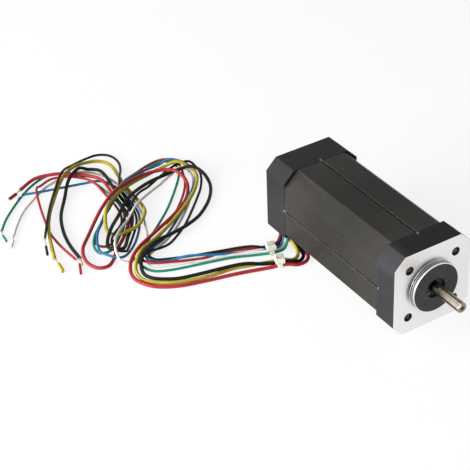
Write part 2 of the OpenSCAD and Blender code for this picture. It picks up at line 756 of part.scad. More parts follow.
module shaft() {
    flat_w = shaft_d;
    flat_y = shaft_d / 2 - flat_depth;
    color("#c9ccd1")
        difference() {
            union() {
                rod(shaft_end, x_brg_f + race_w, journal_d);
                rod(x_brg_f + race_w - eps, x_flat + shaft_neck_run, shaft_d + shaft_neck_over);
                rotate([seam_turn, 0, 0])
                    union() {
                        rod(x_brg_f + race_w - eps, shaft_out - tip_edge, shaft_d);
                        cone(shaft_out - tip_edge, shaft_out, shaft_d, shaft_d - 2 * tip_edge);
                    }
                rod(mid_rear, mid_front, shaft_mid_d);
            }
            rotate([-flat_turn, 0, 0])
                box(x_flat, shaft_out + 1, -flat_w, -flat_y, -flat_w, flat_w);
            rod(shaft_out - centre_d, shaft_out + 1, centre_d / 2);
            cone(shaft_out - centre_d / 2, shaft_out + eps, eps, centre_d);
        }
}

module rotor_core() {
    color("#55585e")
        tube(x_rot_r + balance_t, x_rot_f - balance_t, 2 * core_r, shaft_mid_d);
}

module magnet_cut() {
    h = magnet_r * 2;
    a = magnet_arc / 2;
    polygon([[0, 0], [h * cos(a), -h * sin(a)], [h * cos(a), h * sin(a)]]);
}

module rotor_magnets() {
    color("#3d4046")
        for (k = [0 : poles - 1])
            rotate([whole_turn / poles * k, 0, 0])
                intersection() {
                    tube(x_rot_r, x_rot_f, 2 * magnet_r, 2 * core_r);
                    prism(x_rot_r - 1, x_rot_f + 1)
                        magnet_cut();
                }
}

module rotor_sleeve() {
    color("#8f949c")
        tube(x_rot_r, x_rot_f, 2 * sleeve_r, 2 * magnet_r);
}

module balance_rings() {
    color("#b08d3c") {
        tube(x_rot_f - balance_t, x_rot_f, 2 * core_r, shaft_mid_d);
        tube(x_rot_r, x_rot_r + balance_t, 2 * core_r, shaft_mid_d);
    }
}

function pick(route, i) = i < 0 ? 2 * route[0] - route[1]
    : i >= len(route) ? 2 * route[len(route) - 1] - route[len(route) - 2]
    : route[i];

function blend(a, b, c, d, t) = (2 * b + (c - a) * t + (2 * a - 5 * b + 4 * c - d) * t * t
    + (3 * b - 3 * c + d - a) * t * t * t) / 2;

function spot(route, u) = let (i = min(floor(u), len(route) - 2))
    blend(pick(route, i - 1), pick(route, i), pick(route, i + 1), pick(route, i + 2), u - i);

function lifted(p, d) = [p[0], p[1], floor_z + d / 2 + max(p[2], 0)];

function line_of(route, d) = [for (k = [0 : lead_rings - 1])
    lifted(spot(route, (len(route) - 1) * k / (lead_rings - 1)), d)];

function unit(v) = v / norm(v);

function way_at(line, k) = unit(line[min(k + 1, len(line) - 1)] - line[max(k - 1, 0)]);

function ring_at(line, k, d) = let (way = way_at(line, k), side = unit(cross([0, 0, 1], way)),
        up = cross(way, side), step = whole_turn / lead_sides)
    [for (j = [0 : lead_sides - 1])
        line[k] + d / 2 * (cos(step * (j + 0.5)) * side + sin(step * (j + 0.5)) * up)];

module lead(route, d) {
    n = lead_sides;
    line = line_of(route, d);
    points = [for (k = [0 : len(line) - 1]) each ring_at(line, k, d)];
    walls = [for (k = [0 : len(line) - 2], j = [0 : n - 1]) let (a = n * k + j, b = n * k + (j + 1) % n)
        each [[a, a + n, b + n], [a, b + n, b]]];
    first = [for (j = [0 : n - 1]) j];
    last = [for (j = [0 : n - 1]) n * len(line) - 1 - j];
    polyhedron(points = points, faces = concat(walls, [first, last]));
}

module lead_phase_red() {
    color("#b8231d")
        lead(phase_red_route, phase_d);
}

module lead_phase_yellow() {
    color("#c99d1c")
        lead(phase_yellow_route, phase_d);
}

module lead_phase_black() {
    color("#141416")
        lead(phase_black_route, phase_d);
}

module lead_hall_red() {
    color("#c0271f")
        lead(hall_red_route, hall_d);
}

module lead_hall_black() {
    color("#18181a")
        lead(hall_black_route, hall_d);
}

module lead_hall_blue() {
    color("#3566a8")
        lead(hall_blue_route, hall_d);
}

module lead_hall_green() {
    color("#1c8468")
        lead(hall_green_route, hall_d);
}

module lead_hall_white() {
    color("#e9e9e6")
        lead(hall_white_route, hall_d);
}

module stick(p0, p1, d) {
    v = p1 - p0;
    flat = norm([v[0], v[1]]);
    translate(p0)
        rotate([0, atan2(flat, v[2]), atan2(v[1], v[0])])
            cylinder(h = norm(v), d = d);
}

module strand_ends() {
    color("#b9a98c") {
        for (tip = phase_tips)
            stick(lifted(tip[0], phase_d), lifted(tip[1], phase_d), phase_strand_d);
        for (tip = hall_tips)
            stick(lifted(tip[0], hall_d), lifted(tip[1], hall_d), hall_strand_d);
    }
}

module phase_slugs() {
    color("#c9a23a")
        for (tip = phase_tips)
            if (len(tip) > 2)
                stick(lifted(tip[1], phase_d), lifted(tip[2], phase_d), phase_d);
}

module hall_slugs() {
    color("#d8d6cf")
        for (tip = hall_tips)
            stick(lifted(tip[1], hall_d), lifted(tip[2], hall_d), hall_d);
}

module cable_tie(place, turn, row_w, d) {
    w = row_w / 2;
    z0 = floor_z + tie_lift;
    z1 = z0 + d + tie_play;
    translate([place[0], place[1], 0])
        rotate([0, 0, turn]) {
            difference() {
                box(-w - strap_t, w + strap_t, -strap_w / 2, strap_w / 2, z0 - strap_t, z1 + strap_t);
                box(-w, w, -strap_w, strap_w, z0, z1);
            }
            box(buckle_shift - buckle_w / 2, buckle_shift + buckle_w / 2, -buckle_len / 2, buckle_len / 2,
                z1 + strap_t, z1 + strap_t + buckle_h);
        }
}

module cable_tie_hall() {
    color("#e8e3d3")
        cable_tie(hall_tie, hall_tie_turn, hall_row_w, hall_d);
}

module cable_tie_phase() {
    color("#e8e3d3")
        cable_tie(phase_tie, phase_tie_turn, phase_row_w, phase_d);
}

front_bell();
rear_bell();
stator_core();
front_insulator();
rear_insulator();
coils_u();
coils_v();
coils_w();
tie_screws();
lock_washers();
wave_washer();
sensor_board();
hall_sensors();
board_screws();
terminal_strip();
inner_leads();
phase_pins();
cable_grommet();
front_outer_race();
rear_outer_race();
bearing_shields();
shaft();
rotor_core();
rotor_magnets();
rotor_sleeve();
balance_rings();
front_inner_race();
rear_inner_race();
front_balls();
front_cage();
rear_balls();
rear_cage();
lead_phase_red();
lead_phase_yellow();
lead_phase_black();
lead_hall_red();
lead_hall_black();
lead_hall_blue();
lead_hall_green();
lead_hall_white();
strand_ends();
phase_slugs();
hall_slugs();
cable_tie_hall();
cable_tie_phase();
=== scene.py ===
"""Looks of a square-flange brushless motor with flying leads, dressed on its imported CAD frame."""

import math

import bpy
from mathutils import Matrix, Vector


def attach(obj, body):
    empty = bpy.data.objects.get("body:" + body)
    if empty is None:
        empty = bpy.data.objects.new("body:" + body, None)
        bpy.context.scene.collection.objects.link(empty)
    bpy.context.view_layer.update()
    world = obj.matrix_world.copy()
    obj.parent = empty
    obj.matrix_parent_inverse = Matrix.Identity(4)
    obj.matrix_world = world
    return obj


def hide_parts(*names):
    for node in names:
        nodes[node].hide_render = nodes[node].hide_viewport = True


MM = 0.001
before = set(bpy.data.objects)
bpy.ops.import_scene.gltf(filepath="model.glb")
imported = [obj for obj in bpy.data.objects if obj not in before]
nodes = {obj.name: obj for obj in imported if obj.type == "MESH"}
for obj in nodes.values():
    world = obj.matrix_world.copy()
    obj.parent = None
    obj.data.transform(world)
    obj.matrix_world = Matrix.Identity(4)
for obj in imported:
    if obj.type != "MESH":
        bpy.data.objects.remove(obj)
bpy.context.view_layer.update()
scene = bpy.context.scene

# Camera, solved from the photograph in the motor's own frame
CAM_TARGET = Vector((-82.293, -50.545, 0)) * MM
CAM_AZ, CAM_EL, CAM_ROLL = (math.radians(a) for a in (58.919, 35.123, -2.466))
CAM_DIST = 707.297 * MM
CAM_LENS = 116.64
CAM_SENSOR = 36
CAM_CLIP = (0.01, 20)


def camera():
    flat = Vector((math.sin(CAM_AZ), -math.cos(CAM_AZ), 0)) * math.cos(CAM_EL)
    back = flat + Vector((0, 0, math.sin(CAM_EL)))
    right = Vector((0, 0, 1)).cross(back).normalized()
    up = back.cross(right)
    c, s = math.cos(CAM_ROLL), math.sin(CAM_ROLL)
    right, up = c * right + s * up, c * up - s * right
    data = bpy.data.cameras.new("camera")
    data.lens = CAM_LENS
    data.sensor_width = CAM_SENSOR
    data.clip_start, data.clip_end = CAM_CLIP
    cam = bpy.data.objects.new("camera", data)
    scene.collection.objects.link(cam)
    turn = Matrix((right, up, back)).transposed().to_4x4()
    cam.matrix_world = Matrix.Translation(CAM_TARGET + back * CAM_DIST) @ turn
    scene.camera = cam


camera()

# Leads: x, y and the lift of the underside above the surface, mm, as in the part's source
FLOOR_Z = -21.0
PHASE_D, HALL_D = 1.8, 1.3
ROUTES = {
    "phase_red": [
        (-90, -15.3, 1.1), (-85, -15.7, 0.5), (-78, -15.4, 0), (-72, -16.6, 0), (-69, -20, 0),
        (-69, -24.5, 0), (-71.7, -29.5, 0.7), (-75, -38, 0), (-79.5, -52, 0), (-83, -66, 0),
        (-87, -79, 0), (-93, -88.5, 0), (-101, -93, 0), (-108, -93, 0), (-115.5, -89, 1),
        (-121.5, -81.5, 2.5), (-128.5, -68, 2.5), (-137, -53, 1.5), (-147, -40, 0), (-156, -33, 0.5),
        (-163.5, -31, 2), (-170, -33, 3.5), (-174.5, -38.5, 3), (-176, -46.5, 3), (-173, -57, 4.5),
        (-165.5, -70, 7), (-157, -82.5, 5.5), (-148, -94.5, 0.5), (-138, -103, 1), (-129, -106, 0.5),
        (-122, -104, 0), (-120, -99, 0), (-123.5, -94, 0), (-129.3, -89.1, 0), (-136.2, -81.7, 0),
        (-144, -74.9, 0), (-152.7, -70.1, 0), (-175, -67.2, 0.5), (-184, -67.5, 3), (-193, -70.5, 2),
        (-200, -77, 2), (-205, -85, 2), (-207.5, -94.5, 1.5), (-204.5, -104.5, 0),
    ],
    "phase_yellow": [
        (-90, -18, 3.3), (-85, -18.2, 3), (-78.5, -19, 1.7), (-75, -20.5, 0.3), (-73.6, -24.3, 0),
        (-75.7, -29, 0.7), (-80, -39, 0), (-84, -51, 0), (-85.3, -62, 0), (-88, -73, 0),
        (-92.5, -83, 0), (-99, -89.7, 0), (-106, -90.7, 0), (-112.5, -88, 1), (-118.5, -81.5, 3),
        (-124.5, -71, 1.5), (-131, -58, 2), (-140, -44, 2.5), (-149, -33.5, 2), (-157, -26.8, 2.5),
        (-165, -23.3, 1.5), (-171.5, -23, 1), (-177, -27, 3), (-179.8, -34, 0.5), (-179, -42.5, 0),
        (-174, -55, 2), (-166.5, -67, 4.5), (-158, -78, 5.3), (-150, -84, 3), (-143, -86, 1),
        (-138, -83, 1.8), (-137.5, -78, 2), (-139.5, -71.5, 1.5), (-145, -65, 1.5), (-153, -61, 1.2),
        (-175, -59.1, 1), (-187, -56.5, 0), (-198, -55, 0), (-205, -58, 0), (-207, -64, 0.5),
        (-203, -74, 3.5), (-196, -84, 4), (-185, -95, 0.5), (-172, -104, 1), (-158, -111, 1.5),
        (-140, -117.3, 0),
    ],
    "phase_black": [
        (-90, -16, 3), (-85, -17.3, 1.4), (-77.5, -17.4, 0.8), (-73.3, -18.4, 0), (-71, -22, 0),
        (-71.9, -25.5, 0.7), (-73.7, -29.2, 0.7), (-77.5, -38, 1), (-82, -48.5, 2.5), (-88.8, -69, 1),
        (-93, -78, 0), (-98.5, -85.5, 0), (-104, -88, 0), (-110, -86.5, 1), (-115, -82.5, 3),
        (-119.5, -76, 2.5), (-122.5, -68.5, 2), (-124, -60.5, 1.5), (-126.5, -51, 1), (-131.5, -41, 0),
        (-138.5, -32, 0), (-146, -25.5, 0), (-154, -21.3, 0), (-161.5, -20.7, 2), (-167, -24, 4),
        (-171, -30, 2), (-172, -38, 1), (-169, -50, 2), (-161.5, -64, 3.5), (-152.5, -75, 2),
        (-143.5, -84, 3), (-136, -90.3, 2.5), (-130.3, -92.6, 2), (-126.3, -88.3, 2),
        (-128.6, -84.7, 1), (-134.9, -80, 0), (-142.9, -73.2, 0.5), (-151.9, -68.2, 1),
        (-162, -66.1, 0), (-175, -65.3, 1.5), (-187, -63.7, 2.5), (-196, -63, 1), (-201, -67, 0.5),
        (-199.5, -73, 4), (-194, -81.5, 3), (-183.5, -89.5, 0.5), (-171, -98, 0), (-158, -103.3, 0),
        (-146, -106, 0), (-133.5, -107, 0),
    ],
    "hall_red": [
        (-92.1, -18.7, 5.3), (-90.2, -20.6, 3), (-88.9, -23.5, 1), (-89.4, -28.5, 0.7), (-93.6, -37, 0),
        (-98, -47, 0), (-99.3, -57, 0), (-101.5, -63, 0), (-107, -77.5, 1), (-110.2, -82.3, 1.5),
        (-114.8, -83, 0.5), (-118.8, -79.7, 0), (-124, -72, 0), (-131, -61.5, 0), (-139, -51.5, 0),
        (-149, -41, 0), (-159, -33, 0), (-169, -28, 0), (-178, -25.2, 0), (-184.5, -26, 0),
        (-187.8, -31, 0), (-187, -39, 0), (-183.5, -48, 0.5), (-176.5, -59, 3), (-169.5, -67.5, 2.5),
        (-153, -85, 0), (-145, -92, 0), (-138.8, -94.9, 0), (-135, -91.2, 0), (-138.2, -85, 0),
        (-145.9, -77.7, 0), (-154, -73.1, 0), (-162.7, -71.2, 0), (-175, -70.4, 0), (-186, -71.5, 2.5),
        (-195, -75.5, 2), (-200.5, -81, 1.5), (-203, -87.5, 1.2), (-201.5, -94, 0.5), (-196, -99, 3),
        (-185, -102.8, 0.5), (-172, -106.5, 0), (-160, -109.3, 0), (-147, -109.8, 0), (-134, -109, 0),
    ],
    "hall_black": [
        (-90.5, -18.7, 5.3), (-88.6, -20.6, 3), (-87.3, -23.5, 1), (-87.8, -28.5, 0.7),
        (-92.1, -37, 2.5), (-98.3, -50, 1.5), (-104, -62.5, 0.5), (-110.3, -75.3, 0),
        (-112.2, -78.9, 1), (-115.4, -79.4, 1.5), (-117.5, -76.6, 1.5), (-117.5, -71.5, 1),
        (-119.5, -65, 0), (-124, -57.5, 0), (-131, -48.5, 0), (-148, -31.5, 0), (-156, -25, 0),
        (-163.5, -20.8, 0), (-170, -19.2, 0), (-174.8, -20.7, 2), (-177, -25, 1.5), (-176.5, -31, 1),
        (-174, -39, 0), (-168.5, -49, 0.5), (-161, -60.5, 3), (-144.5, -78, 2.5), (-137.5, -85.5, 4),
        (-132, -90, 5), (-126.8, -91.9, 3.5), (-124, -87.7, 2), (-127.5, -83.5, 0.5),
        (-141.9, -71.4, 0), (-151.2, -66.5, 0), (-161.7, -64.4, 0), (-172, -63, 1.3), (-181, -59, 2.5),
        (-190, -53.5, 1), (-199, -50, 0), (-207, -50.8, 0), (-211.5, -56, 0), (-211, -63, 0.5),
        (-206, -73, 3), (-198, -83, 6.5), (-188, -93, 3), (-174, -103, 3), (-154.5, -115, 3),
    ],
    "hall_blue": [
        (-88.9, -18.7, 5.3), (-87, -20.6, 3), (-85.7, -23.5, 1), (-86.2, -28.5, 0.7), (-90.6, -37, 0),
        (-97.5, -52.5, 1), (-103, -64.5, 2), (-106.2, -71, 0.5), (-108.6, -76.5, 0.5),
        (-111.3, -80.7, 1.5), (-115.5, -81, 1.3), (-118.6, -78, 1), (-120.8, -72, 1),
        (-125.5, -63.5, 0.5), (-140, -45, 1), (-149, -35.7, 1.5), (-157, -28.5, 1.5), (-165, -23, 0),
        (-172.5, -21.2, 0), (-179, -23.5, 1), (-183, -28.5, 2), (-184, -34, 0), (-183, -41, 0.5),
        (-179, -51, 3), (-172.5, -62, 5), (-165, -71.5, 4.3), (-149, -87.5, 2.7), (-141, -93.5, 2),
        (-132, -97, 1.5), (-125, -96, 2.5), (-122, -91.5, 1), (-123.5, -86.5, 0), (-128, -80.5, 0),
        (-134, -75, 0), (-141.2, -69.8, 0), (-150.6, -65, 0), (-161.5, -63, 0), (-172, -62.2, 0),
        (-180, -63, 0), (-186, -67.5, 1.5), (-189.7, -75, 1), (-194.5, -95, 1.4), (-198, -106.3, 1.5),
    ],
    "hall_green": [
        (-85.7, -18.7, 5.3), (-83.8, -20.6, 3), (-82.5, -23.5, 1), (-83, -28.5, 0.7), (-87.5, -37, 0),
        (-92, -47, 0), (-95, -57, 0), (-98, -68, 0), (-100.5, -76, 0), (-104, -82.5, 0),
        (-109.5, -85.2, 0), (-115, -85, 0), (-119.5, -81.2, 1.5), (-127, -72.5, 1), (-146, -51, 0),
        (-165, -33.7, 0), (-173, -28.7, 0), (-180, -26.8, 0), (-185, -29.5, 0), (-185.7, -36, 0),
        (-182.5, -45.5, 0), (-176, -56.5, 3), (-168.5, -66.5, 3), (-152, -85.5, 1.5),
        (-144.5, -93, 1.5), (-138, -97, 0.5), (-132, -97, 0), (-130, -92.5, 0.5), (-132.5, -88, 1),
        (-137.6, -83.3, 0.3), (-145.1, -76.4, 0), (-153.4, -71.7, 1), (-162.5, -69.8, 1.5),
        (-175, -69, 0.5), (-187, -69.7, 0), (-197, -72.5, 0), (-204.5, -77.5, 0), (-208.5, -83.5, 0),
        (-208, -90.5, 0), (-203.5, -100, 0), (-195, -111, 0), (-185, -121.5, 0), (-176.5, -128.3, 0),
    ],
    "hall_white": [
        (-87.3, -18.7, 5.3), (-85.4, -20.6, 3), (-84.1, -23.5, 1), (-84.6, -28.5, 0.7), (-89, -37, 1),
        (-93.5, -47, 0.5), (-97, -57, 0), (-104.5, -75.5, 0), (-108, -81, 0), (-112.5, -81.5, 0),
        (-116.2, -79, 0), (-118.8, -74, 0), (-122.5, -65.5, 0), (-129, -56, 0), (-137, -46.7, 0),
        (-146, -38, 0), (-154.5, -31, 0), (-162.5, -26, 0), (-169.3, -24.9, 1), (-173, -28.3, 2),
        (-172, -33.5, 0), (-167.5, -42.5, 0), (-161.5, -53, 1.5), (-153.5, -64.5, 3.5),
        (-145.5, -74.5, 2), (-138, -82.5, 4), (-131, -88.5, 5), (-124.5, -92, 4.5),
        (-119.5, -92.5, 1.5), (-117.5, -88.5, 0), (-119.5, -82.5, 0), (-125, -76, 0), (-132, -70.8, 0),
        (-150, -63.5, 0), (-161.3, -61.6, 0.5), (-175, -60.7, 0.5), (-184, -61, 0), (-192, -63, 0),
        (-198, -67.5, 0.5), (-201, -74.5, 1.5), (-202, -82.5, 0), (-199.5, -92, 0), (-194, -101, 0),
        (-186, -111.5, 0), (-177, -119.5, 0), (-169, -125.3, 0),
    ],
}
# Beyond each lead: strand start, slug start and slug end, x, y and lift, mm
TIPS = {
    "phase_red": [(-204.5, -104.5, 0), (-202.4, -107.7, 0), (-200.2, -112.5, 0)],
    "phase_yellow": [(-140, -117.3, 0), (-135.4, -117.6, 0), (-128.7, -118.6, 0)],
    "phase_black": [(-133.5, -107, 0), (-127.8, -108.6, 0)],
    "hall_red": [(-134, -109, 0), (-129.8, -109.2, 0), (-122.3, -112.4, 0)],
    "hall_black": [(-154.5, -115, 3), (-149.5, -117, 2.2), (-144, -119, 1)],
    "hall_blue": [(-198, -106.3, 1.5), (-196.4, -108.3, 1.5), (-194.4, -110.3, 1.4)],
    "hall_green": [(-176.5, -128.3, 0), (-173, -129.2, 0), (-167.2, -129.9, 0)],
    "hall_white": [(-169, -125.3, 0), (-166.1, -126.8, 0), (-160.9, -130.4, 0)],
}

# Leads are round tubes with so many steps from one route point to the next
LINE_STEPS, LEAD_SIDES = 8, 16


def pick(route, i):
    """Point i of a route, which goes on straight by one point past each end."""
    if i < 0:
        return [2 * a - b for a, b in zip(route[0], route[1])]
    if i >= len(route):
        return [2 * a - b for a, b in zip(route[-1], route[-2])]
    return route[i]


def spot(route, u):
    """Place on the smooth curve through the route's points, u counted in points."""
    i = min(int(u), len(route) - 2)
    t = u - i
    near = [pick(route, i + k) for k in (-1, 0, 1, 2)]
    return [
        (2 * b + (c - a) * t + (2 * a - 5 * b + 4 * c - d) * t * t + (3 * b - 3 * c + d - a) * t**3) / 2
        for a, b, c, d in zip(*near)
    ]


def lifted(p, d):
    """Centre, in metres, of a wire of diameter d whose underside has the lift of p."""
    return Vector((p[0], p[1], FLOOR_Z + d / 2 + max(p[2], 0))) * MM


def centre_line(route, d):
    n = (len(route) - 1) * LINE_STEPS
    return [lifted(spot(route, k / LINE_STEPS), d) for k in range(n + 1)]


def mesh_object(name, points, faces, finish=None, smooth=True):
    data = bpy.data.meshes.new(name)
    data.from_pydata([tuple(p) for p in points], [], faces)
    if finish:
        data.materials.append(finish)
    for f in data.polygons:
        f.use_smooth = smooth
    obj = bpy.data.objects.new(name, data)
    scene.collection.objects.link(obj)
    return obj


def tube(path, radius, sides):
    """Points and faces of a closed tube along a path, radius one number per path point."""
    points, faces = [], []
    for k, p in enumerate(path):
        way = (path[min(k + 1, len(path) - 1)] - path[max(k - 1, 0)]).normalized()
        side = Vector((0, 0, 1)).cross(way).normalized()
        up = way.cross(side)
        for j in range(sides):
            a = math.tau * j / sides
            points.append(p + (math.cos(a) * side + math.sin(a) * up) * radius[k])
    for k in range(len(path) - 1):
        for j in range(sides):
            a, b = k * sides + j, k * sides + (j + 1) % sides
            faces.append((b, b + sides, a + sides, a))
    faces.append(tuple(range(sides)))
    faces.append(tuple(range(len(path) * sides - 1, (len(path) - 1) * sides - 1, -1)))
    return points, faces


leads = {}
for name, route in ROUTES.items():
    d = PHASE_D if name.startswith("phase") else HALL_D
    line = centre_line(route, d)
    lead = mesh_object("skin_" + name, *tube(line, [d / 2 * MM] * len(line), LEAD_SIDES))
    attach(lead, "housing")
    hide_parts("lead_" + name)
    leads[name] = (lead, line, d)


# Sizes of the part that the finishes follow, mm, and the turn of the shaft's flat, degrees
FRONT_JOINT, REAR_JOINT, NOTCH_LEN = -12.5, -84.8, 1.2
SIDE_Y = -21
SEAM_HALF = 0.55
PILOT_LEN, PILOT_R, PILOT_EDGE = 3, 12.5, 0.35
BOLT_OFF = 36 / 2 / math.sqrt(2)
TAP_R, SINK_R = 1.25, 2.2
SHAFT_OUT, TIP_EDGE, CENTRE_R = 21, 0.5, 1
FLAT_X, FLAT_TURN = 6, 42
# Borders between two finishes stand this far beside the edge in the metal
ASIDE = 0.05
# The usual range of a noise
NOISE_RANGE = (0.3, 0.7)


# Shader helpers: object coordinates are the row frame, in metres
def linear(hexa):
    parts = [int(hexa[i : i + 2], 16) / 255 for i in (1, 3, 5)]
    return tuple(c / 12.92 if c < 0.04045 else ((c + 0.055) / 1.055) ** 2.4 for c in parts) + (1.0,)


class Net:
    """A Principled material and the nodes that feed it."""

    def __init__(self, name, **fixed):
        self.mat = bpy.data.materials.new(name)
        self.mat.use_nodes = True
        self.tree = self.mat.node_tree
        self.shader = self.tree.nodes["Principled BSDF"]
        self.place = self.node("ShaderNodeTexCoord").outputs["Object"]
        self.axes = None
        for key, value in fixed.items():
            self.shader.inputs[key.replace("_", " ")].default_value = value

    def node(self, kind, **facts):
        made = self.tree.nodes.new(kind)
        for key, value in facts.items():
            setattr(made, key, value)
        return made

    def put(self, socket, value):
        if isinstance(value, bpy.types.NodeSocket):
            self.tree.links.new(value, socket)
        else:
            socket.default_value = value

    def calc(self, operation, a, b=0.0, clamp=False):
        made = self.node("ShaderNodeMath", operation=operation, use_clamp=clamp)
        self.put(made.inputs[0], a)
        self.put(made.inputs[1], b)
        return made.outputs[0]

    def times(self, first, *others):
        """The product, which for shares means where all of them hold."""
        for other in others:
            first = self.calc("MULTIPLY", first, other)
        return first

    def without(self, share):
        return self.calc("SUBTRACT", 1.0, share)

    def size(self, value):
        return self.calc("ABSOLUTE", value)

    def axis(self, k):
        if self.axes is None:
            split = self.node("ShaderNodeSeparateXYZ")
            self.put(split.inputs[0], self.place)
            self.axes = split.outputs
        return self.axes[k]

    def noise(self, grain, detail=2.0, stretch=None):
        """Noise with features of about that many mm."""
        made = self.node("ShaderNodeTexNoise")
        made.inputs["Scale"].default_value = 1 / (grain * MM)
        made.inputs["Detail"].default_value = detail
        place = self.place
        if stretch:
            scaled = self.node("ShaderNodeVectorMath", operation="MULTIPLY")
            self.put(scaled.inputs[0], self.place)
            scaled.inputs[1].default_value = stretch
            place = scaled.outputs[0]
        self.put(made.inputs["Vector"], place)
        return made.outputs["Fac"]

    def radius(self, y0=0.0, z0=0.0, fold=False):
        """Distance in metres from the shaft axis, or from four bolt axes folded into one."""
        y, z = self.axis(1), self.axis(2)
        if fold:
            y, z = self.size(y), self.size(z)
        y = self.calc("SUBTRACT", y, y0 * MM)
        z = self.calc("SUBTRACT", z, z0 * MM)
        return self.calc("SQRT", self.calc("ADD", self.times(y, y), self.times(z, z)))

    def above(self, value, limit, soft=0.02):
        """0 below the limit and 1 above it, limit and soft edge in mm."""
        made = self.node("ShaderNodeMapRange")
        self.put(made.inputs["Value"], value)
        made.inputs["From Min"].default_value = (limit - soft) * MM
        made.inputs["From Max"].default_value = (limit + soft) * MM
        return made.outputs[0]

    def below(self, value, limit, soft=0.02):
        return self.without(self.above(value, limit, soft))

    def span(self, value, inside, outside=(0, 1)):
        """Carries the first range to the second one, and stops at its ends."""
        made = self.node("ShaderNodeMapRange")
        self.put(made.inputs["Value"], value)
        for key, number in zip(("From Min", "From Max", "To Min", "To Max"), (*inside, *outside)):
            made.inputs[key].default_value = number
        return made.outputs[0]

    def spread(self, noise, outside=(0, 1)):
        return self.span(noise, NOISE_RANGE, outside)

    def rings(self, value, pitch):
        """A wave of that pitch in mm along a length in metres, from 0 to 1."""
        wave = self.calc("SINE", self.times(value, math.tau / (pitch * MM)))
        return self.span(wave, (-1, 1))

    def mix(self, share, a, b):
        made = self.node("ShaderNodeMix", data_type="RGBA")
        self.put(made.inputs[0], share)
        self.put(made.inputs[6], a)
        self.put(made.inputs[7], b)
        return made.outputs[2]

    def tint(self, share, colour, tone):
        """Lays a tone, written as a hex colour, over the colour."""
        return self.mix(share, colour, linear(tone))

    def blend(self, share, a, b):
        made = self.node("ShaderNodeMix", data_type="FLOAT")
        self.put(made.inputs[0], share)
        self.put(made.inputs[2], a)
        self.put(made.inputs[3], b)
        return made.outputs[0]

    def bump(self, height, depth, strength=1.0, normal=None):
        made = self.node("ShaderNodeBump")
        made.inputs["Strength"].default_value = strength
        made.inputs["Distance"].default_value = depth * MM
        self.put(made.inputs["Height"], height)
        if normal is not None:
            self.put(made.inputs["Normal"], normal)
        return made.outputs[0]

    def wear(self, **sockets):
        for key, value in sockets.items():
            self.put(self.shader.inputs[key.replace("_", " ")], value)
        return self.mat


# The coat of bells and stack: flecks and broad unevenness, mm, its gloss, its painted sheen at flat angles,
# and its painted lighter side and corner
FLECK_GRAIN, BROAD_GRAIN = 0.35, 9
FLECKS = (0.45, 0.75)
COAT_ROUGH = (0.28, 0.4)
FLECK_DEPTH, FLECK_STRENGTH = 0.01, 0.6
SHEEN_FROM, SHEEN_FULL, SHEEN_SHARE = 0.82, 0.93, 0.75
PALE_FROM_Y = -12
CORNER_FROM, CORNER_FULL = 31, 36


def painted_sheen(n, colour):
    """Painted sheen: the coat's colour is lightened where it is seen at a very flat angle."""
    facing = n.node("ShaderNodeLayerWeight")
    facing.inputs["Blend"].default_value = 0.5
    share = n.span(facing.outputs["Facing"], (SHEEN_FROM, SHEEN_FULL), (0, SHEEN_SHARE))
    return n.tint(share, colour, "#b4b3b1")


def off_seam(n):
    """Distance from the middle of the nearest side of the body."""
    return n.calc("MINIMUM", n.size(n.axis(1)), n.size(n.axis(2)))


def bare_notch_and_glint(n, x0, x1):
    """1 in the small bare notches where the seams meet a bell, between two places along the shaft, mm;
    their light tone is bare metal and also a painted glint.
    """
    spare, over = 0.1, 0.07
    x = n.axis(0)
    near = n.times(n.above(x, x0 - spare), n.below(x, x1 + spare))
    return n.times(near, n.below(off_seam(n), SEAM_HALF + over))


def painted_side_light(n, colour, share, corner):
    """Painted light: the coat is painted paler toward the side that faces the leads, and more so on that
    side's upper corner as a painted highlight.
    """
    side = n.span(n.axis(1), (SIDE_Y * MM, PALE_FROM_Y * MM), (share, 0))
    up = n.calc("SUBTRACT", n.axis(2), n.axis(1))
    up = n.span(up, (CORNER_FROM * MM, CORNER_FULL * MM), (0, corner))
    return n.tint(n.calc("ADD", side, up, True), colour, "#37373a")


def rear_cast():
    """Coated rear bell: fine flecks, a little dust and uneven gloss."""
    n = Net("rear_bell_finish", Specular_IOR_Level=0.06)
    fine, broad = n.noise(FLECK_GRAIN, detail=3), n.noise(BROAD_GRAIN, detail=4)
    colour = n.mix(n.span(fine, FLECKS), linear("#1b1b1b"), linear("#2a2929"))
    colour = n.tint(n.span(broad, (0.35, 0.7), (0, 0.35)), colour, "#2e2c2b")
    # Painted light on the side toward the leads.
    colour = painted_side_light(n, colour, 0.22, 0)
    # Bare notches, lightened as bare metal and as a painted glint.
    colour = n.tint(bare_notch_and_glint(n, REAR_JOINT - NOTCH_LEN, REAR_JOINT), colour, "#777571")
    relief = n.bump(fine, FLECK_DEPTH, FLECK_STRENGTH)
    # Painted sheen where the coat is seen at a very flat angle.
    return n.wear(Base_Color=painted_sheen(n, colour), Roughness=n.spread(broad, COAT_ROUGH), Normal=relief)


# The stack's coat grows paler from its middle toward its ends, mm
PALER_ENDS_MIDDLE, PALER_ENDS_FROM, PALER_ENDS_FULL = -47, 8, 36
SHEET_PITCH = 0.5


